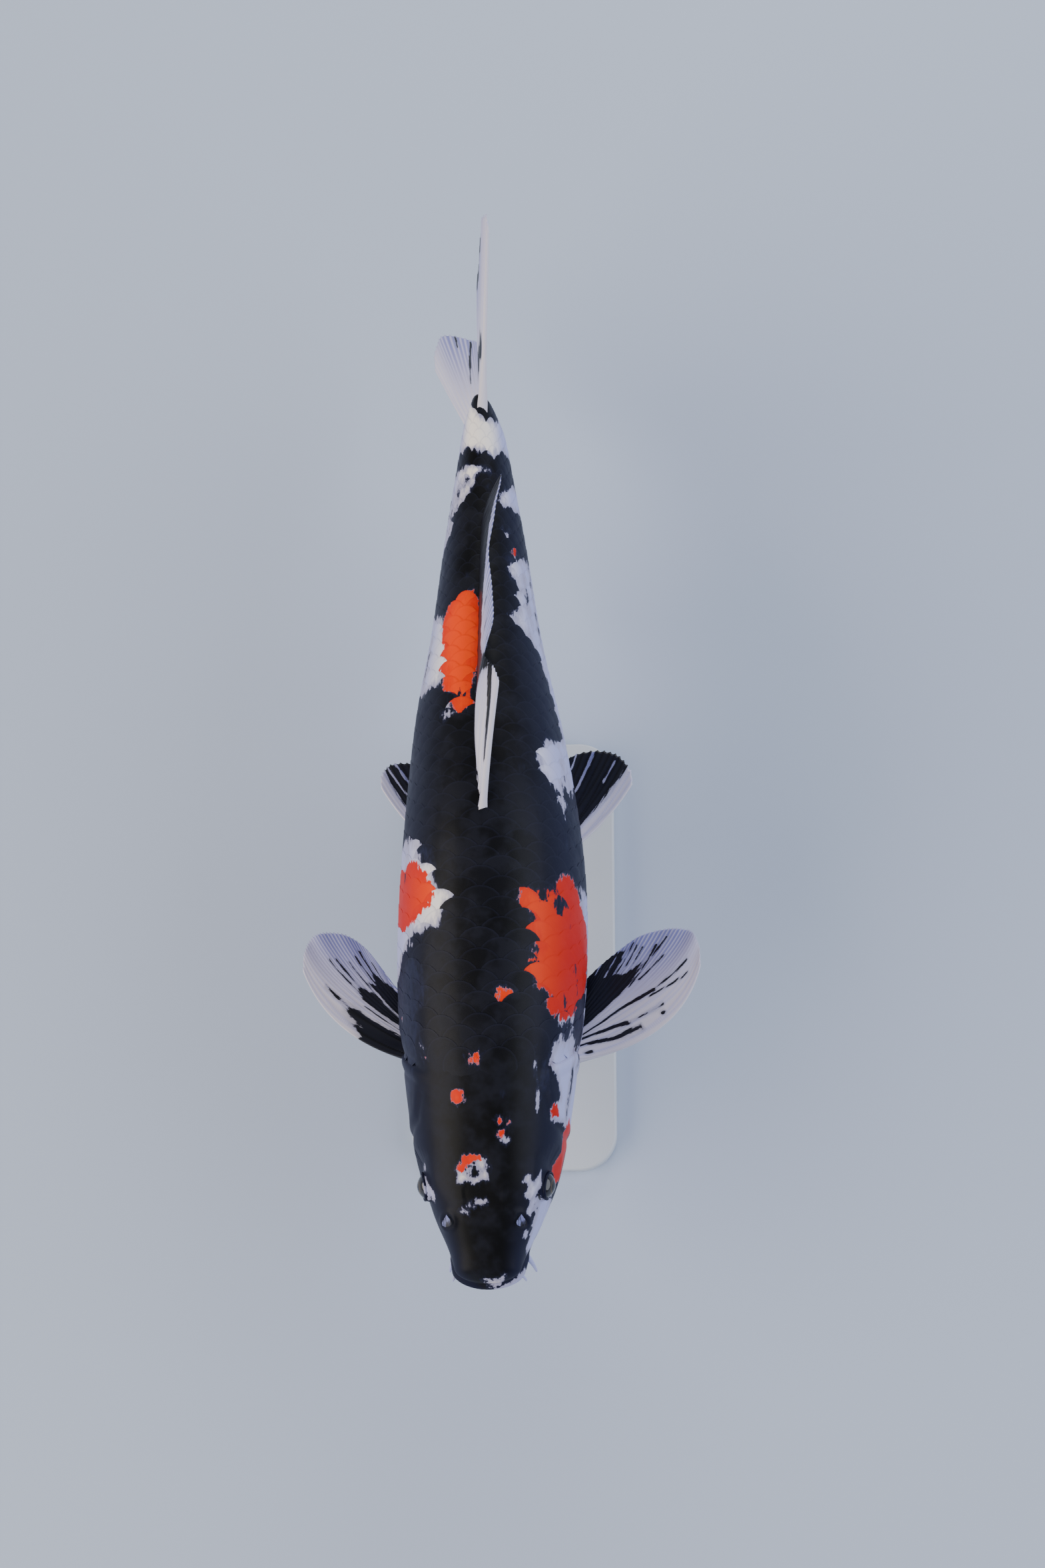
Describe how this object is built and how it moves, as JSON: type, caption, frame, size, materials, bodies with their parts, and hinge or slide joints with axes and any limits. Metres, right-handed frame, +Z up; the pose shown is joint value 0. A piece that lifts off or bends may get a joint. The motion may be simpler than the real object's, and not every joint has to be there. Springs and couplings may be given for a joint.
{
  "type": "koi carp on a display stand",
  "caption": "Life-size black, white and orange koi carp in a gliding pose with spread fins, held over a flat base by two rods.",
  "frame": {"origin": "middle of the underside of the whole model's box, on the floor under the stand", "axes": "+Y from the snout to the tail, +X to the fish's left, +Z up"},
  "size_m": [0.2312, 0.6058, 0.2493],
  "materials": {
    "koi_skin": "wet-looking scaled skin, black with cream white and orange patches",
    "fin_skin": "translucent bluish-white membrane between rays, streaked black from the root",
    "eye": "glossy dark eye with a thin pale ring",
    "stand_paint": "satin off-white painted board",
    "stand_steel": "brushed rods with turned collars"
  },
  "bodies": {
    "root": {"head": "koi_skin", "lower_jaw": "koi_skin", "gill_cover_left": "koi_skin", "gill_cover_right": "koi_skin", "trunk_front": "koi_skin", "trunk_rear": "koi_skin", "tail_stem": "koi_skin", "barbel_front_left": "koi_skin", "barbel_front_right": "koi_skin", "barbel_rear_left": "koi_skin", "barbel_rear_right": "koi_skin", "dorsal_fin": "fin_skin", "anal_fin": "fin_skin", "tail_fin_upper": "fin_skin", "tail_fin_lower": "fin_skin", "pectoral_fin_left": "fin_skin", "pectoral_fin_right": "fin_skin", "pelvic_fin_left": "fin_skin", "pelvic_fin_right": "fin_skin", "eye_left": "eye", "eye_right": "eye", "stand_base": "stand_paint", "stand_rod_front": "stand_steel", "stand_rod_rear": "stand_steel"}
  },
  "joints": []
}
